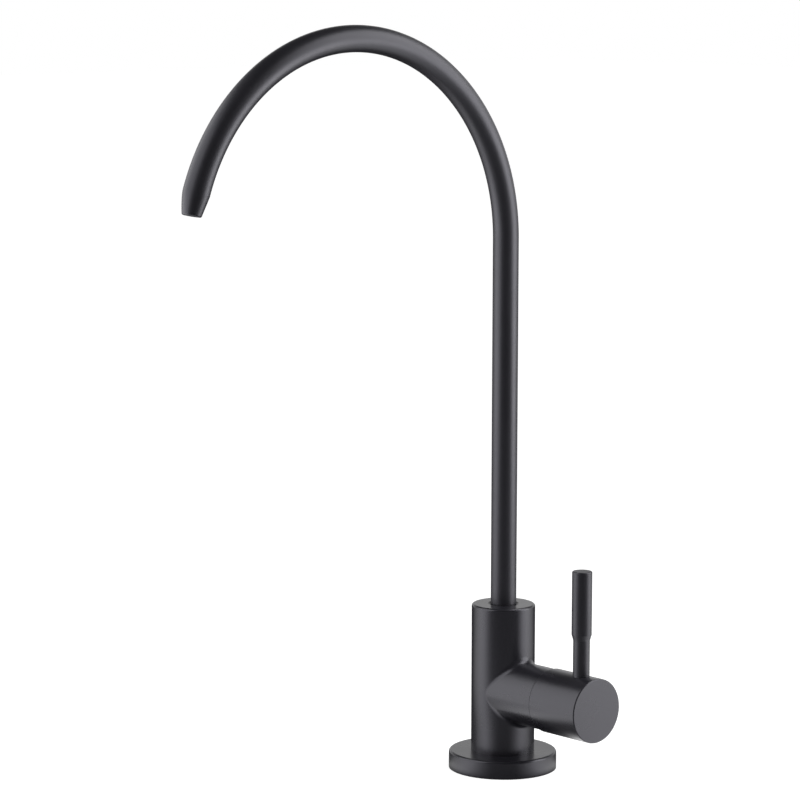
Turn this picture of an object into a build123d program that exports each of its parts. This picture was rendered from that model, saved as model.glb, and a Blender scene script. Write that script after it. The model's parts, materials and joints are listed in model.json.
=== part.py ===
from build123d import *
import os

# Deck-mounted drinking-water tap with a swivelling gooseneck spout and a side lever. All sizes in mm.
# Origin: centre of the base's underside, at deck level. +Z is up, the spout reaches towards -Y and
# the valve with its handle lies along +X. The valve is drawn closed, with the lever upright.

# Spout pipe
pipe_diameter = 10.1
pipe_wall = 0.9
bend_start_height = 210.6
bend_radius = 78.5
bend_angle = 167.6
outlet_rounding = 0.7
outlet_rounding_share = 0.8

# Base flange and its gasket
flange_diameter = 42.7
flange_thickness = 7.1
flange_rim = 2.3
gasket_thickness = 1.5
edge_rounding = 1.0

# Body: a turned post with a side boss for the valve
body_diameter = 25.1
valve_height = 24.6
boss_diameter = 24.4
boss_reach = 27.2
boss_blend = 2.6
passage_diameter = 5.0
passage_offset = 1.5

# Swivel socket in the body's top, and the spigot at the pipe's lower end
socket_diameter = 10.6
socket_depth = 21.9
socket_chamfer = 0.9
pool_depth = 2.0
pool_floor_wall = 1.5
pool_ledge = 0.9
thrust_ring_thickness = 0.8
spigot_length = 16.2
spigot_neck_length = 6.0
spigot_bore = 6.0
spout_ring_section = 1.15
spout_ring_heights = (3.0, 6.6)
lock_groove_width = 3.0
lock_groove_depth = 0.95
lock_groove_height = 12.2

# Valve cartridge, placed along +X from the body's axis
chamber_diameter = 18.0
chamber_floor = 3.0
port_offset = 4.5
port_diameter = 4.6
seat_seal_thickness = 2.0
disc_diameter = 15.0
disc_thickness = 3.0
disc_slot_depth = 1.6
drive_slot_width = 3.0
drive_slot_depth = 1.1
stem_diameter = 8.0
stem_collar_diameter = 13.0
stem_collar_thickness = 2.0
stem_flat = 0.75
stem_end_margin = 2.0
stem_ring_section = 1.1
stem_ring_pitch = 3.6
housing_shoulder = 6.0
housing_neck_diameter = 13.0
housing_neck_proud = 0.85
housing_ring_section = 1.2
nut_recess = 0.65
nut_slot_width = 2.0
nut_slot_depth = 1.2
nut_slots = 4
clip_thickness = 0.8
clip_width = 2.3
clip_groove_depth = 0.8
clip_opening = 4.0

# Handle
seam_gap = 0.25
hub_diameter = 25.2
hub_length = 24.6
hub_rounding = 0.4
hub_cavity_diameter = 16.0
hub_cavity_depth = 3.2
hub_socket_floor_gap = 0.5
lever_setback = 8.5
lever_thread_diameter = 5.0
lever_thread_length = 6.0
lever_seat_height = 10.5
lever_neck_diameter = 6.5
lever_grip_diameter = 7.8
lever_neck_end = 26.6
lever_cone_length = 2.2
lever_length = 53.6
lever_rounding = 0.5

# Set screws: one holds the handle on the stem, one keeps the spigot in its socket
screw_diameter = 4.0
screw_key_size = 2.0
screw_key_depth = 2.0
screw_sink = 0.9
screw_tip_diameter = 2.4

# Threaded shank and the clamping parts under the deck
shank_diameter = 11.1
shank_bore = 7.0
shank_grip = 10.0
shank_seal_thickness = 1.0
shank_below_deck = 47.0
deck_gap = 20.0
rubber_washer_diameter = 30.0
rubber_washer_thickness = 2.5
steel_washer_diameter = 26.0
steel_washer_thickness = 1.5
lock_washer_diameter = 19.0
lock_washer_thickness = 1.0
lock_washer_teeth = 10
lock_washer_notch = 1.8
mounting_nut_width = 17.0
mounting_nut_thickness = 6.0
mounting_nut_chamfer = 0.8

# Push-in connector for the supply tube
supply_tube_diameter = 6.35
connector_diameter = 17.0
connector_thread_length = 6.0
connector_flutes = 12
connector_flute_diameter = 2.0
connector_flute_depth = 0.5
connector_passage = 5.2
face_washer_thickness = 1.5
connector_web = 2.0
pilot_length = 2.5
connector_cavity_diameter = 12.0
connector_cavity_depth = 9.0
connector_ring_section = 2.4
retainer_length = 6.0
collet_diameter = 9.4
collet_head_diameter = 12.6
collet_head_thickness = 1.6
collet_travel = 3.0
collet_slit = 0.6

# Clearances
running_gap = 0.05
thread_gap = 0.03
seal_gap = 0.03
film_gap = 0.02
assembly_gap = 0.1
washer_gap = 0.3
loose_gap = 0.3
pocket_gap = 0.1
supply_gap = 0.075

# Places that follow from the sizes above
body_foot = flange_thickness
valve_z = body_foot + valve_height
socket_floor = valve_z + chamber_diameter / 2 + pool_floor_wall + pool_depth
body_top = socket_floor + socket_depth
spigot_foot = socket_floor + thrust_ring_thickness
spigot_top = spigot_foot + spigot_length
spigot_diameter = socket_diameter - 2 * running_gap
pipe_bore = pipe_diameter - 2 * pipe_wall
lock_z = spigot_foot + lock_groove_height
shank_socket_top = body_foot + shank_grip + shank_seal_thickness

seal_end = chamber_floor + seat_seal_thickness
fixed_disc_end = seal_end + disc_thickness
moving_disc_start = fixed_disc_end + film_gap
moving_disc_end = moving_disc_start + disc_thickness
collar_start = moving_disc_end + film_gap
collar_end = collar_start + stem_collar_thickness
housing_shoulder_start = collar_end + assembly_gap
housing_shoulder_end = housing_shoulder_start + housing_shoulder
nut_end = boss_reach - nut_recess
housing_end = boss_reach + housing_neck_proud
clip_start = housing_end + assembly_gap
clip_end = clip_start + clip_thickness
housing_diameter = chamber_diameter - 2 * running_gap
pocket_diameter = disc_diameter + 2 * pocket_gap
stem_bore = stem_diameter + 2 * running_gap

hub_start = boss_reach + seam_gap
hub_end = hub_start + hub_length
lever_x = hub_end - lever_setback
hub_socket_start = hub_start + hub_cavity_depth
stem_end = lever_x - lever_thread_diameter / 2 - stem_end_margin
hub_socket_end = stem_end + hub_socket_floor_gap
hub_screw_x = (hub_socket_start + stem_end) / 2

washer_bore = shank_diameter + 2 * washer_gap
rubber_washer_bottom = -deck_gap - rubber_washer_thickness
steel_washer_bottom = rubber_washer_bottom - steel_washer_thickness
lock_washer_bottom = steel_washer_bottom - lock_washer_thickness
mounting_nut_bottom = lock_washer_bottom - mounting_nut_thickness
connector_top = -shank_below_deck + connector_thread_length
face_washer_bottom = -shank_below_deck - face_washer_thickness
tube_stop = face_washer_bottom - connector_web
connector_cavity_top = tube_stop - pilot_length
connector_bottom = connector_cavity_top - connector_cavity_depth
supply_bore = supply_tube_diameter + 2 * supply_gap
collet_top = connector_cavity_top - connector_ring_section - assembly_gap
collet_bottom = connector_bottom - collet_travel - collet_head_thickness


def rod(diameter, start, end):
    """Round bar on the local Z axis between two heights."""
    bottom = (Align.CENTER, Align.CENTER, Align.MIN)
    return Pos(0, 0, start) * Cylinder(diameter / 2, end - start, align=bottom)


def ring(outer, inner, start, end):
    """Round bar with a plain bore."""
    return rod(outer, start, end) - rod(inner, start, end)


def hanging_box(length, width, depth):
    """Box whose top face's middle is at the origin."""
    return Box(length, width, depth, align=(Align.CENTER, Align.CENTER, Align.MAX))


def o_ring(section, inner, middle):
    """Round-section seal around the local Z axis, given by its inner diameter."""
    return Pos(0, 0, middle) * Torus((inner + section) / 2, section / 2)


def along_valve(shape):
    """Turns a shape drawn along local Z so that it lies along +X at the valve's height."""
    valve_plane = Plane(origin=(0, 0, valve_z), x_dir=(0, 1, 0), z_dir=(1, 0, 0))
    return valve_plane.location * shape


def circles_at(shape, height):
    """Circular edges of a shape that lie flat at one local height, widest last."""
    edges = shape.edges().filter_by(GeomType.CIRCLE)
    level = edges.filter_by(lambda edge: abs(edge.center().Z - height) < 0.001)
    return level.sort_by(lambda edge: edge.radius)


def ports(start, end):
    """The inlet port below the valve's axis and the outlet port above it."""
    return [Pos(0, side * port_offset, 0) * rod(port_diameter, start, end) for side in (-1, 1)]


def set_screw(length):
    """Set screw along local Z with its flat tip at zero and a hex key socket in its outer end."""
    key = Pos(0, 0, length - screw_key_depth) * extrude(
        RegularPolygon(screw_key_size / 2, 6, major_radius=False), screw_key_depth)
    return rod(screw_diameter - 2 * thread_gap, 0, length) - key


def spout_path():
    """Centre line of the pipe: up from the spigot, then round the bend towards -Y."""
    riser = Line((0, spigot_top), (0, bend_start_height))
    bend = CenterArc((-bend_radius, bend_start_height), bend_radius, 0, bend_angle)
    return Plane.YZ * (riser + bend)


def spout_tube():
    section = Circle(pipe_diameter / 2) - Circle(pipe_bore / 2)
    pipe = sweep(Plane.XY.offset(spigot_top) * section, path=spout_path())
    outlet_face = pipe.faces().filter_by(GeomType.PLANE).sort_by(Axis.Y)[0]
    outer_edge = outlet_face.edges().sort_by(lambda edge: edge.length)[-1]
    return fillet(outer_edge, min(outlet_rounding, outlet_rounding_share * pipe_wall))


def seal_inner(bore, section):
    """Inner diameter of a round seal that runs just clear of a bore."""
    return bore - 2 * seal_gap - 2 * section


def ring_groove(bore, section, middle):
    """Square groove in a shaft for a round seal that runs in a bore."""
    half_width = section / 2 + assembly_gap
    floor = seal_inner(bore, section) - 2 * film_gap
    return ring(2 * bore, floor, middle - half_width, middle + half_width)


def spout_spigot():
    spigot = rod(spigot_diameter, spigot_foot, spigot_top)
    neck = rod(pipe_bore - 2 * running_gap, spigot_top, spigot_top + spigot_neck_length)
    spigot = spigot + neck
    for height in spout_ring_heights:
        spigot -= ring_groove(socket_diameter, spout_ring_section, spigot_foot + height)
    groove_bottom = lock_z - lock_groove_width / 2
    spigot -= ring(2 * spigot_diameter, spigot_diameter - 2 * lock_groove_depth,
                   groove_bottom, groove_bottom + lock_groove_width)
    return spigot - rod(spigot_bore, spigot_foot, spigot_top + spigot_neck_length)


def spout_o_rings():
    inner = seal_inner(socket_diameter, spout_ring_section)
    return Part() + [o_ring(spout_ring_section, inner, spigot_foot + height) for height in spout_ring_heights]


def spout_thrust_ring():
    return ring(socket_diameter - 2 * running_gap, spigot_bore, socket_floor, spigot_foot)


def spout_lock_screw():
    """Dog-point set screw in the body's back, whose tip runs in the spigot's groove."""
    tip_reach = spigot_diameter / 2 - lock_groove_depth + loose_gap
    shoulder = socket_diameter / 2 + loose_gap
    screw = Pos(0, 0, shoulder) * set_screw(body_diameter / 2 - screw_sink - shoulder)
    screw += rod(screw_tip_diameter, tip_reach, shoulder)
    return Plane(origin=(0, 0, lock_z), x_dir=(1, 0, 0), z_dir=(0, 1, 0)).location * screw


def base_flange():
    flange = rod(flange_diameter, 0, flange_thickness)
    flange = fillet(circles_at(flange, flange_thickness)[-1], edge_rounding)
    flange -= rod(flange_diameter - 2 * flange_rim, 0, gasket_thickness)
    return flange - rod(washer_bore, 0, flange_thickness)


def base_gasket():
    outer = flange_diameter - 2 * flange_rim - 2 * assembly_gap
    return ring(outer, washer_bore, 0, gasket_thickness)


def body():
    post = rod(body_diameter, body_foot, body_top)
    boss = along_valve(rod(boss_diameter, 0, boss_reach))
    shell = post + boss
    seam_edges = shell.edges().filter_by(lambda edge: edge.geom_type not in (GeomType.CIRCLE, GeomType.LINE))
    shell = fillet(seam_edges, boss_blend)
    shell = fillet(circles_at(shell, body_top)[-1], edge_rounding)
    shell -= rod(socket_diameter, socket_floor, body_top)
    shell = chamfer(circles_at(shell, body_top)[0], socket_chamfer)
    shell -= rod(socket_diameter - 2 * pool_ledge, socket_floor - pool_depth, socket_floor)
    shell -= rod(shank_diameter + 2 * thread_gap, body_foot, shank_socket_top)
    shell -= along_valve(rod(chamber_diameter, chamber_floor, boss_reach))
    for side, start, end in ((-1, shank_socket_top, valve_z - port_offset),
                             (1, valve_z + port_offset, socket_floor - pool_depth)):
        shell -= Pos(-passage_offset, 0, 0) * rod(passage_diameter, start, end)
        shell -= Pos(-passage_offset, 0, valve_z + side * port_offset) * Sphere(passage_diameter / 2)
        port = rod(port_diameter, -passage_offset, chamber_floor)
        shell -= along_valve(Pos(0, side * port_offset, 0) * port)
    screw_hole = rod(screw_diameter, 0, body_diameter)
    shell -= Plane(origin=(0, 0, lock_z), x_dir=(1, 0, 0), z_dir=(0, 1, 0)).location * screw_hole
    return shell


def seat_seal():
    seal = rod(pocket_diameter - 2 * running_gap, chamber_floor, seal_end)
    return along_valve(seal - ports(chamber_floor, seal_end))


def ceramic_disc_fixed():
    disc = rod(disc_diameter, seal_end, fixed_disc_end)
    return along_valve(disc - ports(seal_end, fixed_disc_end))


def ceramic_disc_moving():
    """Disc with a slot across its face that joins the two ports after a quarter turn."""
    disc = rod(disc_diameter, moving_disc_start, moving_disc_end)
    slot = extrude(SlotOverall(2 * port_offset + port_diameter, port_diameter), disc_slot_depth)
    disc -= Pos(0, 0, moving_disc_start) * slot
    drive = hanging_box(disc_diameter, drive_slot_width, drive_slot_depth)
    return along_valve(disc - Pos(0, 0, moving_disc_end) * drive)


def stem_ring_places():
    """Two seals, spaced evenly about the outer end of the housing's shoulder."""
    return [housing_shoulder_end + side * stem_ring_pitch / 2 for side in (-1, 1)]


def double_flat(diameter, flat, start, end):
    """Round bar with two flats that face up and down."""
    across = diameter - 2 * flat
    block = Box(2 * diameter, across, end - start, align=(Align.CENTER, Align.CENTER, Align.MIN))
    return rod(diameter, start, end) & Pos(0, 0, start) * block


def cartridge_stem():
    stem = rod(stem_collar_diameter, collar_start, collar_end)
    tongue_depth = drive_slot_depth - running_gap
    tongue = hanging_box(stem_collar_diameter, drive_slot_width - 2 * running_gap, tongue_depth + film_gap)
    stem += (Pos(0, 0, collar_start) * tongue) & rod(stem_collar_diameter, moving_disc_start, collar_start)
    stem += rod(stem_diameter, collar_end, hub_socket_start)
    stem += double_flat(stem_diameter, stem_flat, hub_socket_start, stem_end)
    for middle in stem_ring_places():
        stem -= ring_groove(stem_bore, stem_ring_section, middle)
    clip_groove = ring(2 * stem_diameter, stem_diameter - 2 * clip_groove_depth, clip_start, clip_end)
    return along_valve(stem - clip_groove)


def stem_o_rings():
    inner = seal_inner(stem_bore, stem_ring_section)
    rings = [o_ring(stem_ring_section, inner, middle) for middle in stem_ring_places()]
    return along_valve(Part() + rings)


def stem_clip():
    """Open retaining ring in the stem's groove, outside the housing's neck."""
    inner = stem_diameter - 2 * clip_groove_depth + 2 * thread_gap
    clip = ring(inner + 2 * clip_width, inner, clip_start + thread_gap, clip_end - thread_gap)
    opening_depth = stem_diameter + clip_width
    opening = Box(clip_opening, opening_depth, clip_end, align=(Align.CENTER, Align.MIN, Align.MIN))
    return along_valve(clip - Pos(0, 0, clip_start) * opening)


def cartridge_housing():
    housing = rod(housing_diameter, chamber_floor, housing_shoulder_end)
    housing += rod(housing_neck_diameter, housing_shoulder_end, housing_end)
    housing -= rod(pocket_diameter, chamber_floor, housing_shoulder_start)
    housing -= rod(stem_bore, chamber_floor, housing_end)
    middle = (housing_shoulder_start + housing_shoulder_end) / 2
    return along_valve(housing - ring_groove(chamber_diameter, housing_ring_section, middle))


def housing_o_ring():
    middle = (housing_shoulder_start + housing_shoulder_end) / 2
    inner = seal_inner(chamber_diameter, housing_ring_section)
    return along_valve(o_ring(housing_ring_section, inner, middle))


def cartridge_nut():
    """Slotted ring nut that holds the cartridge in the boss."""
    nut_bore = housing_neck_diameter + 2 * running_gap
    nut = ring(chamber_diameter - 2 * thread_gap, nut_bore, housing_shoulder_end, nut_end)
    notch = hanging_box(2 * nut_slot_depth, nut_slot_width, nut_slot_depth)
    for place in PolarLocations(chamber_diameter / 2, nut_slots):
        nut -= Pos(0, 0, nut_end) * place * notch
    return along_valve(nut)


def lever_axis():
    """Plane whose Z axis is the lever's centre line, starting on the valve's axis."""
    return Plane(origin=(lever_x, 0, valve_z), x_dir=(1, 0, 0), z_dir=(0, 0, 1)).location


def handle_hub():
    hub = rod(hub_diameter, hub_start, hub_end)
    for height in (hub_start, hub_end):
        hub = fillet(circles_at(hub, height)[-1], hub_rounding)
    hub -= rod(hub_cavity_diameter, hub_start, hub_socket_start)
    hub -= double_flat(stem_diameter + 2 * thread_gap, stem_flat, hub_socket_start, hub_socket_end)
    hub = along_valve(hub)
    screw_hole = rod(screw_diameter, 0, hub_diameter)
    hub -= Plane(origin=(hub_screw_x, 0, valve_z), x_dir=(1, 0, 0), z_dir=(0, 0, -1)).location * screw_hole
    thread_foot = lever_seat_height - lever_thread_length - loose_gap
    hub -= lever_axis() * rod(lever_thread_diameter, thread_foot, lever_seat_height)
    return hub - lever_axis() * rod(lever_neck_diameter + 2 * assembly_gap, lever_seat_height, hub_diameter)


def handle_set_screw():
    tip = stem_diameter / 2 - stem_flat + thread_gap
    screw = Pos(0, 0, tip) * set_screw(hub_diameter / 2 - screw_sink - tip)
    return Plane(origin=(hub_screw_x, 0, valve_z), x_dir=(1, 0, 0), z_dir=(0, 0, -1)).location * screw


def lever():
    """Pin lever: a thin neck screwed into the hub, and a thicker grip above a short cone."""
    cone_end = lever_neck_end + lever_cone_length
    grip = rod(lever_grip_diameter, cone_end, lever_length)
    grip = fillet(circles_at(grip, lever_length)[-1], lever_rounding)
    cone = Cone(lever_neck_diameter / 2, lever_grip_diameter / 2, lever_cone_length,
                align=(Align.CENTER, Align.CENTER, Align.MIN))
    thread_foot = lever_seat_height - lever_thread_length
    thread = rod(lever_thread_diameter - 2 * thread_gap, thread_foot, lever_seat_height)
    neck = rod(lever_neck_diameter, lever_seat_height, lever_neck_end)
    return lever_axis() * (thread + neck + Pos(0, 0, lever_neck_end) * cone + grip)


def threaded_shank():
    return ring(shank_diameter, shank_bore, -shank_below_deck, body_foot + shank_grip)


def shank_seal():
    return ring(shank_diameter, shank_bore, body_foot + shank_grip, shank_socket_top)


def rubber_washer():
    return ring(rubber_washer_diameter, washer_bore, rubber_washer_bottom, -deck_gap)


def steel_washer():
    return ring(steel_washer_diameter, washer_bore, steel_washer_bottom, rubber_washer_bottom)


def lock_washer():
    """Toothed washer, with notches cut around its inside."""
    washer = ring(lock_washer_diameter, washer_bore, lock_washer_bottom, steel_washer_bottom)
    for place in PolarLocations(washer_bore / 2, lock_washer_teeth):
        washer -= place * rod(lock_washer_notch, lock_washer_bottom, steel_washer_bottom)
    return washer


def mounting_nut():
    hexagon = RegularPolygon(mounting_nut_width / 2, 6, major_radius=False)
    nut = Pos(0, 0, mounting_nut_bottom) * extrude(hexagon, mounting_nut_thickness)
    corner = mounting_nut_width + 2 * mounting_nut_chamfer
    nut &= chamfer(rod(corner, mounting_nut_bottom, lock_washer_bottom).edges().filter_by(GeomType.CIRCLE),
                   mounting_nut_chamfer)
    return nut - rod(shank_diameter + 2 * thread_gap, mounting_nut_bottom, lock_washer_bottom)


def inlet_connector():
    """Push-in connector body with grip flutes, screwed on the shank's lower end."""
    shell = rod(connector_diameter, connector_bottom, connector_top)
    shell = fillet(circles_at(shell, connector_bottom)[-1], edge_rounding)
    flute_radius = (connector_diameter + connector_flute_diameter) / 2 - connector_flute_depth
    for place in PolarLocations(flute_radius, connector_flutes):
        shell -= place * rod(connector_flute_diameter, tube_stop, connector_top)
    shell -= rod(shank_diameter + 2 * thread_gap, face_washer_bottom, connector_top)
    shell -= rod(connector_passage, tube_stop, face_washer_bottom)
    shell -= rod(supply_bore, connector_cavity_top, tube_stop)
    return shell - rod(connector_cavity_diameter, connector_bottom, connector_cavity_top)


def inlet_face_washer():
    return ring(shank_diameter, shank_bore, face_washer_bottom, -shank_below_deck)


def inlet_o_ring():
    middle = connector_cavity_top - connector_ring_section / 2
    return o_ring(connector_ring_section, supply_bore, middle)


def inlet_retainer():
    """Pressed-in sleeve that the collet slides in."""
    retainer_bore = collet_diameter + 2 * assembly_gap
    return ring(connector_cavity_diameter - 2 * film_gap, retainer_bore,
                connector_bottom, connector_bottom + retainer_length)


def inlet_collet():
    """Slit collet that grips the supply tube."""
    collet = rod(collet_diameter, collet_bottom, collet_top)
    collet += rod(collet_head_diameter, collet_bottom, collet_bottom + collet_head_thickness)
    collet -= rod(supply_bore, collet_bottom, collet_top)
    slit = hanging_box(connector_diameter, collet_slit, retainer_length)
    for angle in (0, 90):
        collet -= Pos(0, 0, collet_top) * Rot(0, 0, angle) * slit
    return collet


pieces = {
    "spout_tube": spout_tube,
    "spout_spigot": spout_spigot,
    "spout_o_rings": spout_o_rings,
    "spout_thrust_ring": spout_thrust_ring,
    "spout_lock_screw": spout_lock_screw,
    "base_flange": base_flange,
    "base_gasket": base_gasket,
    "body": body,
    "seat_seal": seat_seal,
    "ceramic_disc_fixed": ceramic_disc_fixed,
    "ceramic_disc_moving": ceramic_disc_moving,
    "cartridge_stem": cartridge_stem,
    "stem_o_rings": stem_o_rings,
    "stem_clip": stem_clip,
    "cartridge_housing": cartridge_housing,
    "housing_o_ring": housing_o_ring,
    "cartridge_nut": cartridge_nut,
    "handle_hub": handle_hub,
    "handle_set_screw": handle_set_screw,
    "lever": lever,
    "threaded_shank": threaded_shank,
    "shank_seal": shank_seal,
    "rubber_washer": rubber_washer,
    "steel_washer": steel_washer,
    "lock_washer": lock_washer,
    "mounting_nut": mounting_nut,
    "inlet_connector": inlet_connector,
    "inlet_face_washer": inlet_face_washer,
    "inlet_o_ring": inlet_o_ring,
    "inlet_retainer": inlet_retainer,
    "inlet_collet": inlet_collet,
}

os.makedirs("parts", exist_ok=True)
for name, make in pieces.items():
    export_step(make(), f"parts/{name}.step")
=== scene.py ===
import json
import math

import bmesh
import bpy
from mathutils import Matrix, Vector


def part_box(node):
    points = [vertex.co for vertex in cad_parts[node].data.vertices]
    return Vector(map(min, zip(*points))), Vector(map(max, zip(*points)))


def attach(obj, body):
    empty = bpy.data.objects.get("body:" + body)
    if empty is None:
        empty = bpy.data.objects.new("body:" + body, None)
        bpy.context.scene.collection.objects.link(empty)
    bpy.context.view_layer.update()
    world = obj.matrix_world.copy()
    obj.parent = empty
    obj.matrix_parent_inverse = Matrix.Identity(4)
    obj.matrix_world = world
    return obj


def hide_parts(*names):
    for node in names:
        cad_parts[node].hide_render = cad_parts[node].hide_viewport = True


MM = 0.001

# The photograph's view: the camera's bearing, rise and roll in degrees, its distance and what it looks
# at in millimetres, and how far it sees in metres
IMAGE_HEIGHT_PX = 801
FOCAL_LENGTH_PX = 3206.9
SENSOR_MM = 36.0
VIEW_AZIMUTH = 48.05
VIEW_RISE = 7.97
VIEW_ROLL = 0.11
VIEW_DISTANCE = 1255.8
VIEW_TARGET = (-27.43, -30.52, 146.85)
CLIP_END = 50

# The floor as the camera sees it: a plain colour, and a glow that goes from near to far between two
# reaches in metres from the tap's axis
FLOOR_SIZE = 12.0
FLOOR_COLOUR = 0.55
NEAR_REACH, FAR_REACH = 0.08, 0.4
NEAR_GLOW, FAR_GLOW = 0.72, 0.93

# The floor as the coat mirrors it, in reflections only: a painted shade ahead of the tap and behind it,
# and a painted glow at its sides that shows in the coat as painted highlights. The glow's edges go from
# dark to lit, where 1 is towards the camera, 0 at the sides and -1 behind.
PAINTED_SHADE_AHEAD_IN_COAT = 0.33
PAINTED_SHADE_BEHIND_IN_COAT = 0.04
PAINTED_SIDE_GLOW = 2.2
SIDE_FRONT = (0.65, 0.30)
SIDE_BACK = (-0.75, 0.0)

# Close to the tap the painted glow lies further to the front, and a painted shade ends it at the flange's
# rim. Both pairs are reaches in metres.
FOOT_REACH = (0.08, 0.14)
FOOT_FRONT_SHIFT = -0.3
FOOT_BACK_SHIFT = -0.45
PAINTED_FLANGE_SHADE = (0.0215, 0.0275)

# The surroundings: a white backdrop with its edges as cosines from straight behind the tap, the start
# and end of a dim ceiling as sines of the rise, and a low even light
BACKDROP_LIGHT = 0.88
BACKDROP_EDGE = (-0.2, 0.5)
CEILING_EDGE = (0.30, 0.60)
CEILING_LIGHT = 0.05
ROOM_LIGHT = 0.20

# The softboxes: bearing from the camera's in degrees, sizes in metres, and the radiance of the face
SOFTBOXES = {
    "softbox_left": dict(bearing=-76, distance=0.36, height=0.26, width=0.50, tall=0.50, radiance=2.25),
    "softbox_right": dict(bearing=84, distance=0.27, height=0.27, width=0.25, tall=0.56, radiance=4.0),
}
SOFTBOX_TARGET = (0, 0, 0.12)

# Finishes: the grain's share beside the orange peel, the span of a noise that counts, and the relief's
# depth in millimetres at pattern size 1
GRAIN_SHARE = 0.35
NOISE_SPAN = (0.3, 0.7)
RELIEF_DEPTH = 0.03

# The gooseneck pipe in millimetres and degrees, and how many rings and sides it is made of
PIPE_DIAMETER = 10.1
PIPE_WALL = 0.9
BEND_START_HEIGHT = 210.6
BEND_RADIUS = 78.5
BEND_ANGLE = 167.6
BEND_RINGS = 146
PIPE_STEPS = 72

# The pipe's narrowed nose and rounded lip, in millimetres. The nose narrows by a power of the way along
# it, and the middle of the inner rounding is a share of that rounding.
NOSE_LENGTH = 8.5
NOSE_DEPTH = 1.48
NOSE_CURVE = 1.25
NOSE_RINGS = 14
LIP_ROUNDING = 0.7
LIP_STEPS = 8
INNER_ROUNDING = 0.15
INNER_ROUNDING_MIDDLE = 0.3

# The shank, its thread and the washers' bore, in millimetres. The thread's root and crest are shares of
# its pitch, and its turn in degrees points the ridge outwards.
SHANK_DIAMETER = 11.1
SHANK_BORE = 7.0
SHANK_ROUNDING = 0.3
SHANK_STEPS = 64
THREAD_PITCH = 1.27
THREAD_DEPTH = 0.70
THREAD_ROOT_SHARE = 0.92
THREAD_CREST_SHARE = 0.16
THREAD_STEPS_PER_TURN = 48
THREAD_TURN = 90
WASHER_BORE = 11.7

# The ring that the spout turns on, in millimetres
SPIGOT_BORE = 6.0
TURNING_PLAY = 0.02

# How finely rings are turned, and the angle in degrees above which an edge stays sharp
LATHE_STEPS = 96
ROUNDING_STEPS = 4
SHARP_ANGLE = 32.0

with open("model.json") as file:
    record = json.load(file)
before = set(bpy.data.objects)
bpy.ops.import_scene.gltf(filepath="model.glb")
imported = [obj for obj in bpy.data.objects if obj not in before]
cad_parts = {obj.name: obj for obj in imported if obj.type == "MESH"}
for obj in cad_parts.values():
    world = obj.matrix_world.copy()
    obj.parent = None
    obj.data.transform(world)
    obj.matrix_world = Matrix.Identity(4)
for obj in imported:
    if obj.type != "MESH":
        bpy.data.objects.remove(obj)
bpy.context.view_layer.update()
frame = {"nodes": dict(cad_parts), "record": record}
bpy.context.scene.view_settings.view_transform = "Standard"


def direction(azimuth, rise):
    """Unit vector from the object towards a camera or lamp at a bearing and a rise, in degrees."""
    a = math.radians(azimuth)
    e = math.radians(rise)
    return Vector((math.sin(a) * math.cos(e), -math.cos(a) * math.cos(e), math.sin(e)))


def aim(item, place, target):
    """Puts a camera or lamp at a place and turns it to face a target."""
    item.location = place
    item.rotation_euler = (Vector(target) - Vector(place)).to_track_quat("-Z", "Y").to_euler()


def make_camera():
    """The photograph's camera."""
    data = bpy.data.cameras.new("camera")
    data.sensor_width = SENSOR_MM
    data.lens = FOCAL_LENGTH_PX * SENSOR_MM / IMAGE_HEIGHT_PX
    data.clip_end = CLIP_END
    camera = bpy.data.objects.new("camera", data)
    bpy.context.collection.objects.link(camera)
    target = Vector(VIEW_TARGET) * MM
    aim(camera, target + direction(VIEW_AZIMUTH, VIEW_RISE) * VIEW_DISTANCE * MM, target)
    camera.rotation_euler.rotate_axis("Z", math.radians(VIEW_ROLL))
    bpy.context.scene.camera = camera


make_camera()


# Small helpers for building node trees

def new_material(name):
    """A material with an empty node tree."""
    material = bpy.data.materials.new(name)
    material.use_nodes = True
    material.node_tree.nodes.clear()
    return material


def node(tree, kind, **values):
    """A new node, with its inputs and properties set by name."""
    made = tree.nodes.new(kind)
    for key, value in values.items():
        if key in made.inputs:
            made.inputs[key].default_value = value
        else:
            setattr(made, key, value)
    return made


def join(tree, source, target):
    """Links one node's output to another node's input."""
    tree.links.new(source, target)


def calculate(tree, operation, *terms):
    """A maths node; each term is a number or another node's output."""
    made = node(tree, "ShaderNodeMath", operation=operation)
    for socket, term in zip(made.inputs, terms):
        if isinstance(term, (int, float)):
            socket.default_value = term
        else:
            join(tree, term, socket)
    return made.outputs[0]


def ramp(tree, factor, low, high, low_value, high_value):
    """Maps a factor between two limits to a range of values."""
    mapped = tree.nodes.new("ShaderNodeMapRange")
    for index, value in zip((1, 2, 3, 4), (low, high, low_value, high_value)):
        mapped.inputs[index].default_value = value
    join(tree, factor, mapped.inputs[0])
    return mapped.outputs[0]


def scale(tree, vector, factor):
    """A vector or a colour times a factor."""
    made = node(tree, "ShaderNodeVectorMath", operation="SCALE")
    join(tree, vector, made.inputs[0])
    join(tree, factor, made.inputs["Scale"])
    return made.outputs[0]


def along(tree, vector, axis):
    """How far a vector reaches along an axis."""
    made = node(tree, "ShaderNodeVectorMath", operation="DOT_PRODUCT")
    join(tree, vector, made.inputs[0])
    made.inputs[1].default_value = axis
    return made.outputs["Value"]


def mix_shaders(tree, share, first, second):
    """The first shader where the share is 0 and the second where it is 1."""
    made = tree.nodes.new("ShaderNodeMixShader")
    for socket, source in zip(made.inputs, (share, first, second)):
        join(tree, source, socket)
    return made.outputs[0]


def add_sockets(tree, inputs, outputs):
    """Names a tree's sockets: inputs as label: (kind, default), outputs as label: kind."""
    for label, (kind, default) in inputs.items():
        socket = tree.interface.new_socket(label, in_out="INPUT", socket_type=kind)
        if default is not None:
            socket.default_value = default
    for label, kind in outputs.items():
        tree.interface.new_socket(label, in_out="OUTPUT", socket_type=kind)
    return tree.nodes.new("NodeGroupInput"), tree.nodes.new("NodeGroupOutput")


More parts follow.
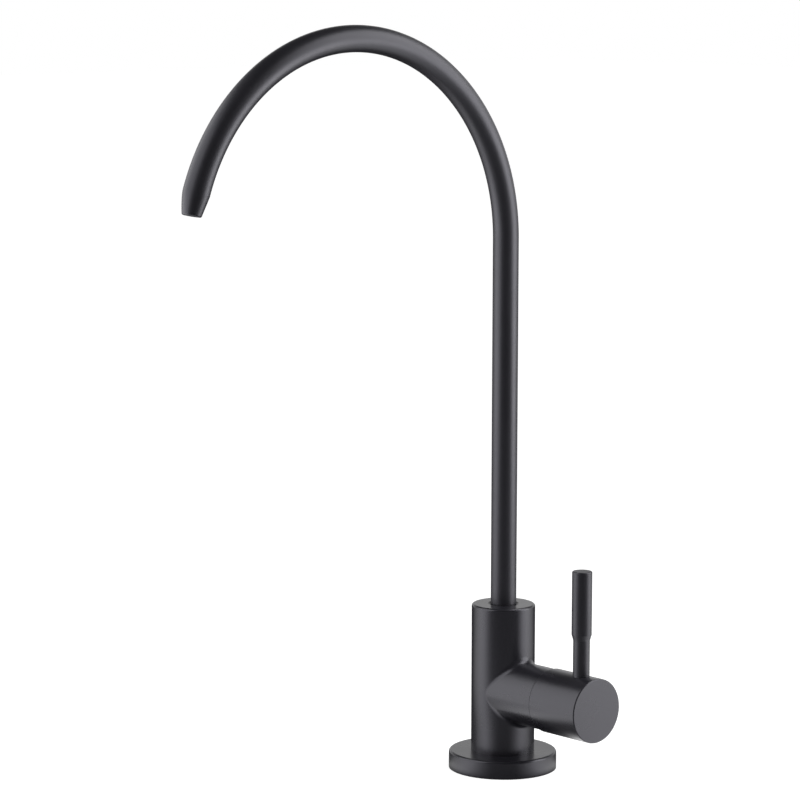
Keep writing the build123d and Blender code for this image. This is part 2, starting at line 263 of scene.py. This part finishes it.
FINISH_INPUTS = {"Vector": ("NodeSocketVector", None), "Colour": ("NodeSocketColor", (0.5, 0.5, 0.5, 1)),
                 "Roughness": ("NodeSocketFloat", 0.4), "Variation": ("NodeSocketFloat", 0.05),
                 "Size": ("NodeSocketFloat", 1.0)}
FINISH_OUTPUTS = {"Colour": "NodeSocketColor", "Roughness": "NodeSocketFloat", "Height": "NodeSocketFloat"}


def in_pattern_units(tree, entry, place):
    """A place measured in the group's pattern size, which is in millimetres."""
    return scale(tree, place, calculate(tree, "DIVIDE", 1.0 / MM, entry.outputs["Size"]))


def put_out_finish(tree, entry, exit_, noise, height):
    """Varies the colour and the roughness alike by a noise, and puts them out with the height."""
    drift = ramp(tree, noise, *NOISE_SPAN, -1.0, 1.0)
    spread = calculate(tree, "MULTIPLY_ADD", drift, entry.outputs["Variation"], 1.0)
    join(tree, scale(tree, entry.outputs["Colour"], spread), exit_.inputs["Colour"])
    join(tree, calculate(tree, "MULTIPLY", entry.outputs["Roughness"], spread), exit_.inputs["Roughness"])
    join(tree, height, exit_.inputs["Height"])


def fine_grain_group():
    """Grain, orange peel and cloudiness of a sprayed or moulded surface."""
    tree = bpy.data.node_groups.new("fine_grain", "ShaderNodeTree")
    entry, exit_ = add_sockets(tree, FINISH_INPUTS, FINISH_OUTPUTS)
    place = in_pattern_units(tree, entry, entry.outputs["Vector"])
    grain = node(tree, "ShaderNodeTexNoise", Scale=5.0, Detail=2.0, Roughness=0.6)
    peel = node(tree, "ShaderNodeTexNoise", Scale=0.9, Detail=1.0, Roughness=0.5)
    cloud = node(tree, "ShaderNodeTexNoise", Scale=0.045, Detail=3.0, Roughness=0.55)
    for texture in (grain, peel, cloud):
        join(tree, place, texture.inputs["Vector"])
    height = calculate(tree, "MULTIPLY_ADD", grain.outputs[0], GRAIN_SHARE, peel.outputs[0])
    put_out_finish(tree, entry, exit_, cloud.outputs[0], height)
    return tree


def lathe_marks_group():
    """Fine rings that a turning tool leaves about the Z axis, on faces and on round sides alike."""
    tree = bpy.data.node_groups.new("lathe_marks", "ShaderNodeTree")
    entry, exit_ = add_sockets(tree, FINISH_INPUTS, FINISH_OUTPUTS)
    axes = tree.nodes.new("ShaderNodeSeparateXYZ")
    join(tree, entry.outputs["Vector"], axes.inputs[0])
    across = calculate(tree, "MULTIPLY", axes.outputs[0], axes.outputs[0])
    reach = calculate(tree, "SQRT", calculate(tree, "MULTIPLY_ADD", axes.outputs[1], axes.outputs[1], across))
    rings = tree.nodes.new("ShaderNodeCombineXYZ")
    join(tree, reach, rings.inputs[0])
    join(tree, axes.outputs[2], rings.inputs[1])
    lines = node(tree, "ShaderNodeTexNoise", noise_dimensions="2D", Scale=8.0, Detail=3.0, Roughness=0.7)
    join(tree, in_pattern_units(tree, entry, rings.outputs[0]), lines.inputs["Vector"])
    put_out_finish(tree, entry, exit_, lines.outputs[0], lines.outputs[0])
    return tree


FINE_GRAIN = fine_grain_group()
LATHE_MARKS = lathe_marks_group()
VALVE_HEIGHT = (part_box("cartridge_housing")[0].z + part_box("cartridge_housing")[1].z) / 2


def finished(name, group, colour, roughness, variation, size, bump, metallic=0.0,
             sheen_tint=(1.0, 1.0, 1.0), along_valve=False):
    """A material whose colour, roughness and relief come from one of the surface groups."""
    material = new_material(name)
    tree = material.node_tree
    coords = tree.nodes.new("ShaderNodeTexCoord")
    place = tree.nodes.new("ShaderNodeMapping")
    if along_valve:
        place.vector_type = "TEXTURE"
        place.inputs["Location"].default_value = (0, 0, VALVE_HEIGHT)
        place.inputs["Rotation"].default_value = (0, math.radians(90), 0)
    join(tree, coords.outputs["Object"], place.inputs["Vector"])
    surface = node(tree, "ShaderNodeGroup", node_tree=group)
    for label, value in (("Colour", (*colour, 1)), ("Roughness", roughness), ("Variation", variation),
                         ("Size", size)):
        surface.inputs[label].default_value = value
    join(tree, place.outputs[0], surface.inputs["Vector"])
    shader = node(tree, "ShaderNodeBsdfPrincipled", Metallic=metallic)
    shader.inputs["Specular Tint"].default_value = (*sheen_tint, 1)
    relief = node(tree, "ShaderNodeBump", Strength=bump, Distance=RELIEF_DEPTH * MM * size)
    output = tree.nodes.new("ShaderNodeOutputMaterial")
    join(tree, surface.outputs["Colour"], shader.inputs["Base Color"])
    join(tree, surface.outputs["Roughness"], shader.inputs["Roughness"])
    join(tree, surface.outputs["Height"], relief.inputs["Height"])
    join(tree, relief.outputs[0], shader.inputs["Normal"])
    join(tree, shader.outputs[0], output.inputs[0])
    return material


COAT = dict(colour=(0.0137, 0.0133, 0.0166), variation=0.05, size=1.0, bump=0.12,
            sheen_tint=(0.912, 0.900, 1.0))
BLACK_COAT = finished("black_powder_coat", FINE_GRAIN, roughness=0.28, **COAT)
PIPE_COAT = finished("black_powder_coat_on_tube", FINE_GRAIN, roughness=0.42, **COAT)
BLACK_OXIDE = finished("black_oxide_steel", FINE_GRAIN, colour=(0.06, 0.06, 0.065), roughness=0.42,
                       variation=0.12, size=0.6, bump=0.2, metallic=0.9)
RUBBER = finished("moulded_rubber", FINE_GRAIN, colour=(0.024, 0.024, 0.025), roughness=0.68,
                  variation=0.10, size=1.6, bump=0.4)
ACETAL = finished("moulded_acetal", FINE_GRAIN, colour=(0.80, 0.80, 0.775), roughness=0.40,
                  variation=0.02, size=2.0, bump=0.15)
CERAMIC = finished("lapped_alumina", FINE_GRAIN, colour=(0.86, 0.84, 0.79), roughness=0.16,
                   variation=0.03, size=0.4, bump=0.04)
BRASS = dict(colour=(0.72, 0.53, 0.25), roughness=0.27, variation=0.16, size=1.0, bump=0.25, metallic=1.0)
BRASS_UPRIGHT = finished("turned_brass_upright", LATHE_MARKS, **BRASS)
BRASS_VALVE = finished("turned_brass_valve", LATHE_MARKS, along_valve=True, **BRASS)
STAINLESS = finished("turned_stainless", LATHE_MARKS, colour=(0.56, 0.55, 0.53), roughness=0.36,
                     variation=0.12, size=0.8, bump=0.15, metallic=1.0)
CLIP_STEEL = finished("stamped_spring_steel", FINE_GRAIN, colour=(0.50, 0.49, 0.47), roughness=0.34,
                      variation=0.08, size=0.5, bump=0.15, metallic=1.0)


def ray_masks(tree):
    """Two masks: 1 for what is seen in or through a surface, and 1 for what the camera sees straight."""
    path = tree.nodes.new("ShaderNodeLightPath")
    reflected = calculate(tree, "MAXIMUM", path.outputs["Is Glossy Ray"], path.outputs["Is Transmission Ray"])
    return reflected, path.outputs["Is Camera Ray"]


def painted_glow_in_coat(tree, reach, front):
    """The floor's painted glow as the coat mirrors it: bright at the left and right of the tap only."""
    foot = ramp(tree, reach, *FOOT_REACH, 1.0, 0.0)
    from_front = calculate(tree, "MULTIPLY_ADD", foot, FOOT_FRONT_SHIFT, front)
    from_back = calculate(tree, "MULTIPLY_ADD", foot, FOOT_BACK_SHIFT, front)
    sides = calculate(tree, "MINIMUM", ramp(tree, from_front, *SIDE_FRONT, 0.0, PAINTED_SIDE_GLOW),
                      ramp(tree, from_back, *SIDE_BACK, 0.0, PAINTED_SIDE_GLOW))
    # painted shade: the painted glow fades out towards the flange's rim
    return calculate(tree, "MULTIPLY", sides, ramp(tree, reach, *PAINTED_FLANGE_SHADE, 0.0, 1.0))


def floor_material():
    """Pale floor, clear from below: white with a soft shadow to the camera, painted shade and glow in the
    coat.
    """
    material = new_material("pale_floor")
    tree = material.node_tree
    spot = tree.nodes.new("ShaderNodeNewGeometry")
    distance = node(tree, "ShaderNodeVectorMath", operation="LENGTH")
    join(tree, spot.outputs["Position"], distance.inputs[0])
    reach = distance.outputs["Value"]
    ahead = along(tree, spot.outputs["Position"], direction(VIEW_AZIMUTH, 0))
    front = calculate(tree, "DIVIDE", ahead, reach)
    reflected, straight = ray_masks(tree)

    # the colour takes the tap's shadow, and turns to a painted shade where the coat mirrors it
    in_coat = ramp(tree, front, *SIDE_BACK, PAINTED_SHADE_BEHIND_IN_COAT, PAINTED_SHADE_AHEAD_IN_COAT)
    change = calculate(tree, "SUBTRACT", in_coat, FLOOR_COLOUR)
    plain = tree.nodes.new("ShaderNodeBsdfDiffuse")
    join(tree, calculate(tree, "MULTIPLY_ADD", change, reflected, FLOOR_COLOUR), plain.inputs["Color"])

    # the glow whitens the floor for the camera, and paints light on the floor's sides as the coat mirrors
    # them
    whitening = calculate(tree, "MULTIPLY", straight,
                          ramp(tree, reach, NEAR_REACH, FAR_REACH, NEAR_GLOW, FAR_GLOW))
    painted_reflection = calculate(tree, "MULTIPLY", reflected, painted_glow_in_coat(tree, reach, front))
    glow = node(tree, "ShaderNodeEmission", Color=(1, 1, 1, 1))
    join(tree, calculate(tree, "ADD", whitening, painted_reflection), glow.inputs["Strength"])

    shade = tree.nodes.new("ShaderNodeAddShader")
    join(tree, plain.outputs[0], shade.inputs[0])
    join(tree, glow.outputs[0], shade.inputs[1])
    clear = tree.nodes.new("ShaderNodeBsdfTransparent")
    shown = mix_shaders(tree, spot.outputs["Backfacing"], shade.outputs[0], clear.outputs[0])
    output = tree.nodes.new("ShaderNodeOutputMaterial")
    join(tree, shown, output.inputs[0])
    return material


def make_floor():
    """The floor that the tap stands on, which is no part of it."""
    bpy.ops.mesh.primitive_plane_add(size=FLOOR_SIZE)
    floor = bpy.context.object
    floor.name = "floor"
    floor.data.materials.append(floor_material())


make_floor()


def make_world():
    """White backdrop behind the tap, a dim ceiling and front, and a low even light on the object."""
    world = bpy.data.worlds.new("studio")
    bpy.context.scene.world = world
    world.use_nodes = True
    tree = world.node_tree
    tree.nodes.clear()
    coords = tree.nodes.new("ShaderNodeTexCoord")
    axes = tree.nodes.new("ShaderNodeSeparateXYZ")
    join(tree, coords.outputs["Generated"], axes.inputs[0])
    behind = along(tree, coords.outputs["Generated"], -direction(VIEW_AZIMUTH, 0))
    below_ceiling = ramp(tree, axes.outputs["Z"], *CEILING_EDGE, BACKDROP_LIGHT, 0.0)
    backdrop = calculate(tree, "MULTIPLY", below_ceiling, ramp(tree, behind, *BACKDROP_EDGE, 0.0, 1.0))
    in_coat = calculate(tree, "MAXIMUM", backdrop, CEILING_LIGHT)

    reflected, straight = ray_masks(tree)
    white = calculate(tree, "MAXIMUM", calculate(tree, "MULTIPLY", in_coat, reflected), straight)
    seen = node(tree, "ShaderNodeBackground", Color=(1, 1, 1, 1))
    join(tree, white, seen.inputs["Strength"])
    light = node(tree, "ShaderNodeBackground", Color=(1, 1, 1, 1), Strength=ROOM_LIGHT)
    share = calculate(tree, "MAXIMUM", reflected, straight)
    output = tree.nodes.new("ShaderNodeOutputWorld")
    join(tree, mix_shaders(tree, share, light.outputs[0], seen.outputs[0]), output.inputs[0])


make_world()


def softbox(name, bearing, distance, height, width, tall, radiance):
    """A softbox at a bearing from the camera's, turned to face the tap."""
    data = bpy.data.lights.new(name, "AREA")
    data.shape = "RECTANGLE"
    data.size = width
    data.size_y = tall
    data.energy = radiance * math.pi * width * tall
    lamp = bpy.data.objects.new(name, data)
    bpy.context.collection.objects.link(lamp)
    lamp.visible_camera = False
    place = direction(VIEW_AZIMUTH + bearing, 0) * distance
    aim(lamp, (place.x, place.y, height), SOFTBOX_TARGET)


for lamp_name, lamp_sizes in SOFTBOXES.items():
    softbox(lamp_name, **lamp_sizes)


# Pieces made here in place of plain CAD solids

def rounded_profile(corners, rounding):
    """Points of a closed outline of (reach, height) corners, in mm, each corner rounded alike."""
    points = []
    count = len(corners)
    for index, corner in enumerate(corners):
        here = Vector(corner)
        before = Vector(corners[index - 1]) - here
        after = Vector(corners[(index + 1) % count]) - here
        turn = before.angle(after)
        setback = rounding / math.tan(turn / 2)
        bisector = (before.normalized() + after.normalized()).normalized()
        centre = here + bisector * rounding / math.sin(turn / 2)
        start = (here + before.normalized() * setback - centre).normalized()
        end = (here + after.normalized() * setback - centre).normalized()
        for step in range(ROUNDING_STEPS + 1):
            points.append(tuple(centre + start.slerp(end, step / ROUNDING_STEPS) * rounding))
    return points


def turned_mesh(name, points, steps=LATHE_STEPS):
    """A ring-shaped solid: a closed outline of (reach, height) points in mm, spun about Z."""
    mesh = bmesh.new()
    rings = []
    for step in range(steps):
        angle = 2 * math.pi * step / steps
        across = (math.cos(angle), math.sin(angle))
        rings.append([mesh.verts.new((reach * across[0] * MM, reach * across[1] * MM, height * MM))
                      for reach, height in points])
    count = len(points)
    for step, ring in enumerate(rings):
        following = rings[(step + 1) % steps]
        for index in range(count):
            after = (index + 1) % count
            mesh.faces.new((ring[index], following[index], following[after], ring[after]))
    bmesh.ops.recalc_face_normals(mesh, faces=mesh.faces)
    data = bpy.data.meshes.new(name)
    mesh.to_mesh(data)
    mesh.free()
    return data


def place_piece(name, data, material, body, *nodes):
    """Shades a finished mesh, makes it a piece on its body, and lets it stand for its CAD nodes."""
    data.polygons.foreach_set("use_smooth", [True] * len(data.polygons))
    data.set_sharp_from_angle(angle=math.radians(SHARP_ANGLE))
    if not data.materials:
        data.materials.append(material)
    piece = bpy.data.objects.new(name, data)
    bpy.context.collection.objects.link(piece)
    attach(piece, body)
    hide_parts(*nodes)


SLOTS = {part["node"]: part["material_slot"] for part in frame["record"]["subparts"]}


def turned_ring(name, cad_node, bore, rounding, material, play=0.0):
    """A plain ring with eased edges, as tall and wide as its CAD node, less any play on top."""
    low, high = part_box(cad_node)
    outer = high.x / MM
    bottom, top = low.z / MM, high.z / MM - play
    corners = [(bore / 2, bottom), (outer, bottom), (outer, top), (bore / 2, top)]
    data = turned_mesh(name, rounded_profile(corners, rounding))
    place_piece(name, data, material, "root", cad_node)


turned_ring("deck_gasket", "base_gasket", bore=WASHER_BORE, rounding=0.25, material=RUBBER)
turned_ring("shank_top_seal", "shank_seal", bore=SHANK_BORE, rounding=0.15, material=RUBBER)
turned_ring("under_deck_rubber_washer", "rubber_washer", bore=WASHER_BORE, rounding=0.45, material=RUBBER)
turned_ring("under_deck_steel_washer", "steel_washer", bore=WASHER_BORE, rounding=0.22, material=STAINLESS)
turned_ring("supply_face_washer", "inlet_face_washer", bore=SHANK_BORE, rounding=0.2, material=RUBBER)
turned_ring("spout_turning_ring", "spout_thrust_ring", bore=SPIGOT_BORE, rounding=0.12, material=ACETAL,
            play=TURNING_PLAY)


def new_geometry_tree(name, inputs):
    """A geometry tree that takes and gives geometry, with inputs of its own beside."""
    tree = bpy.data.node_groups.new(name, "GeometryNodeTree")
    entry, exit_ = add_sockets(tree, {"Geometry": ("NodeSocketGeometry", None), **inputs},
                               {"Geometry": "NodeSocketGeometry"})
    return tree, entry, exit_


def finish_tree(tree, entry, exit_, geometry):
    """Ends a tree with plain geometry in the finish that its Finish input names."""
    plain = tree.nodes.new("GeometryNodeRealizeInstances")
    coat = tree.nodes.new("GeometryNodeSetMaterial")
    join(tree, geometry, plain.inputs[0])
    join(tree, plain.outputs[0], coat.inputs["Geometry"])
    join(tree, entry.outputs["Finish"], coat.inputs["Material"])
    join(tree, coat.outputs[0], exit_.inputs[0])


def bent_pipe_tree():
    """Bends a straight tube that stands on Z round an arc towards -Y, from a height upwards."""
    tree, entry, exit_ = new_geometry_tree("bent_pipe", {
        "Bend Start": ("NodeSocketFloat", 0.2), "Bend Radius": ("NodeSocketFloat", 0.08),
        "Finish": ("NodeSocketMaterial", None)})
    place = tree.nodes.new("GeometryNodeInputPosition")
    axes = tree.nodes.new("ShaderNodeSeparateXYZ")
    join(tree, place.outputs[0], axes.inputs[0])
    start, radius = entry.outputs["Bend Start"], entry.outputs["Bend Radius"]
    past = calculate(tree, "MAXIMUM", calculate(tree, "SUBTRACT", axes.outputs[2], start), 0.0)
    angle = calculate(tree, "DIVIDE", past, radius)
    arm = calculate(tree, "ADD", radius, axes.outputs[1])
    reach = calculate(tree, "MULTIPLY", arm, calculate(tree, "COSINE", angle))
    rise = calculate(tree, "MULTIPLY", arm, calculate(tree, "SINE", angle))
    straight = calculate(tree, "MINIMUM", axes.outputs[2], start)
    moved = tree.nodes.new("ShaderNodeCombineXYZ")
    join(tree, axes.outputs[0], moved.inputs[0])
    join(tree, calculate(tree, "SUBTRACT", reach, radius), moved.inputs[1])
    join(tree, calculate(tree, "ADD", straight, rise), moved.inputs[2])
    bend = tree.nodes.new("GeometryNodeSetPosition")
    join(tree, entry.outputs["Geometry"], bend.inputs["Geometry"])
    join(tree, moved.outputs[0], bend.inputs["Position"])
    finish_tree(tree, entry, exit_, bend.outputs[0])
    return tree


def screw_thread_tree():
    """Winds a thread's ridge round a bar that stands on Z, from a height upwards."""
    tree, entry, exit_ = new_geometry_tree("screw_thread", {
        "Start Height": ("NodeSocketFloat", 0.0), "Pitch": ("NodeSocketFloat", 0.001),
        "Turns": ("NodeSocketFloat", 10.0), "Crest Radius": ("NodeSocketFloat", 0.005),
        "Depth": ("NodeSocketFloat", 0.0005), "Finish": ("NodeSocketMaterial", None)})
    pitch, depth = entry.outputs["Pitch"], entry.outputs["Depth"]
    winding = node(tree, "GeometryNodeCurveSpiral", Resolution=THREAD_STEPS_PER_TURN)
    middle = calculate(tree, "MULTIPLY_ADD", depth, -0.5, entry.outputs["Crest Radius"])
    join(tree, entry.outputs["Turns"], winding.inputs["Rotations"])
    join(tree, middle, winding.inputs["Start Radius"])
    join(tree, middle, winding.inputs["End Radius"])
    join(tree, calculate(tree, "MULTIPLY", pitch, entry.outputs["Turns"]), winding.inputs["Height"])
    lift = tree.nodes.new("ShaderNodeCombineXYZ")
    join(tree, entry.outputs["Start Height"], lift.inputs[2])
    raised = tree.nodes.new("GeometryNodeSetPosition")
    join(tree, winding.outputs[0], raised.inputs["Geometry"])
    join(tree, lift.outputs[0], raised.inputs["Offset"])
    upright = node(tree, "GeometryNodeSetCurveNormal", mode="Z_UP")
    join(tree, raised.outputs[0], upright.inputs[0])
    ridge = node(tree, "GeometryNodeCurvePrimitiveQuadrilateral", mode="TRAPEZOID")
    join(tree, calculate(tree, "MULTIPLY", pitch, THREAD_ROOT_SHARE), ridge.inputs["Bottom Width"])
    join(tree, calculate(tree, "MULTIPLY", pitch, THREAD_CREST_SHARE), ridge.inputs["Top Width"])
    ridge.inputs["Offset"].default_value = 0
    join(tree, depth, ridge.inputs["Height"])
    turned = node(tree, "GeometryNodeTransform", Rotation=(0, 0, math.radians(THREAD_TURN)))
    join(tree, ridge.outputs[0], turned.inputs["Geometry"])
    wound = node(tree, "GeometryNodeCurveToMesh")
    join(tree, upright.outputs[0], wound.inputs[0])
    join(tree, turned.outputs[0], wound.inputs[1])
    wound.inputs["Fill Caps"].default_value = True
    both = tree.nodes.new("GeometryNodeJoinGeometry")
    join(tree, entry.outputs["Geometry"], both.inputs[0])
    join(tree, wound.outputs[0], both.inputs[0])
    finish_tree(tree, entry, exit_, both.outputs[0])
    return tree


def shaped_by(data, tree, values):
    """The plain mesh that a geometry tree makes of another mesh, with the tree's inputs set by name."""
    item = bpy.data.objects.new("blank", data)
    bpy.context.collection.objects.link(item)
    modifier = item.modifiers.new("shape", "NODES")
    modifier.node_group = tree
    for socket in tree.interface.items_tree:
        if socket.in_out == "INPUT" and socket.name in values:
            modifier[socket.identifier] = values[socket.name]
    bpy.context.view_layer.update()
    evaluated = item.evaluated_get(bpy.context.evaluated_depsgraph_get())
    made = bpy.data.meshes.new_from_object(evaluated)
    item.modifiers.remove(modifier)
    bpy.data.objects.remove(item)
    return made


def evenly(first, last, steps):
    """Heights from the first to just short of the last, evenly spaced."""
    return [first + (last - first) * step / steps for step in range(steps)]


def pipe_profile(foot, end):
    """Closed outline of the straight pipe's wall, with its narrowed nose and its rounded lip."""
    nose_start, nose_end = end - NOSE_LENGTH, end - LIP_ROUNDING

    def outer(height):
        past = max(0.0, (height - nose_start) / NOSE_LENGTH)
        return PIPE_DIAMETER / 2 - NOSE_DEPTH * past ** NOSE_CURVE

    stations = [foot] + evenly(BEND_START_HEIGHT, nose_start, BEND_RINGS)
    stations += evenly(nose_start, nose_end, NOSE_RINGS) + [nose_end]
    lip = outer(nose_end)
    bore = lip - PIPE_WALL
    points = [(outer(height), height) for height in stations]
    for step in range(1, LIP_STEPS + 1):
        turn = math.radians(90) * step / LIP_STEPS
        points.append((lip - LIP_ROUNDING * (1 - math.cos(turn)), end - LIP_ROUNDING * (1 - math.sin(turn))))
    eased = INNER_ROUNDING_MIDDLE * INNER_ROUNDING
    points += [(bore + INNER_ROUNDING, end), (bore + eased, end - eased), (bore, end - INNER_ROUNDING)]
    points += [(outer(height) - PIPE_WALL, height) for height in reversed(stations)]
    return points


def gooseneck_pipe():
    """Open pipe, turned straight and then bent."""
    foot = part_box("spout_tube")[0].z / MM
    end = BEND_START_HEIGHT + BEND_RADIUS * math.radians(BEND_ANGLE)
    straight = turned_mesh("straight_pipe", pipe_profile(foot, end), PIPE_STEPS)
    bent = shaped_by(straight, bent_pipe_tree(), {
        "Bend Start": BEND_START_HEIGHT * MM, "Bend Radius": BEND_RADIUS * MM, "Finish": PIPE_COAT})
    place_piece("gooseneck_pipe", bent, PIPE_COAT, "spout", "spout_tube")


gooseneck_pipe()


def deck_shank():
    """Hollow shank, threaded over its whole length."""
    low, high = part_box("threaded_shank")
    bottom, top = low.z / MM, high.z / MM
    core, bore = SHANK_DIAMETER / 2 - THREAD_DEPTH, SHANK_BORE / 2
    corners = [(bore, bottom), (core, bottom), (core, top), (bore, top)]
    blank = turned_mesh("shank_blank", rounded_profile(corners, SHANK_ROUNDING), SHANK_STEPS)
    turns = (top - bottom) / THREAD_PITCH - 1
    threaded = shaped_by(blank, screw_thread_tree(), {
        "Start Height": (bottom + THREAD_PITCH / 2) * MM, "Pitch": THREAD_PITCH * MM, "Turns": turns,
        "Crest Radius": SHANK_DIAMETER / 2 * MM, "Depth": THREAD_DEPTH * MM, "Finish": STAINLESS})
    place_piece("deck_shank", threaded, STAINLESS, "root", "threaded_shank")


deck_shank()


# Finishes of the CAD nodes, which keep their own shape where no piece above replaces them

FINISHES = {"black_coat": BLACK_COAT, "black_steel": BLACK_OXIDE, "rubber": RUBBER, "white_plastic": ACETAL,
            "ceramic": CERAMIC, "brass": BRASS_VALVE, "stainless": STAINLESS}
OWN_FINISHES = {"lever": PIPE_COAT, "spout_spigot": BRASS_UPRIGHT, "mounting_nut": BRASS_UPRIGHT,
                "stem_clip": CLIP_STEEL}

for name, item in frame["nodes"].items():
    item.data.materials.clear()
    item.data.materials.append(OWN_FINISHES.get(name, FINISHES[SLOTS[name]]))
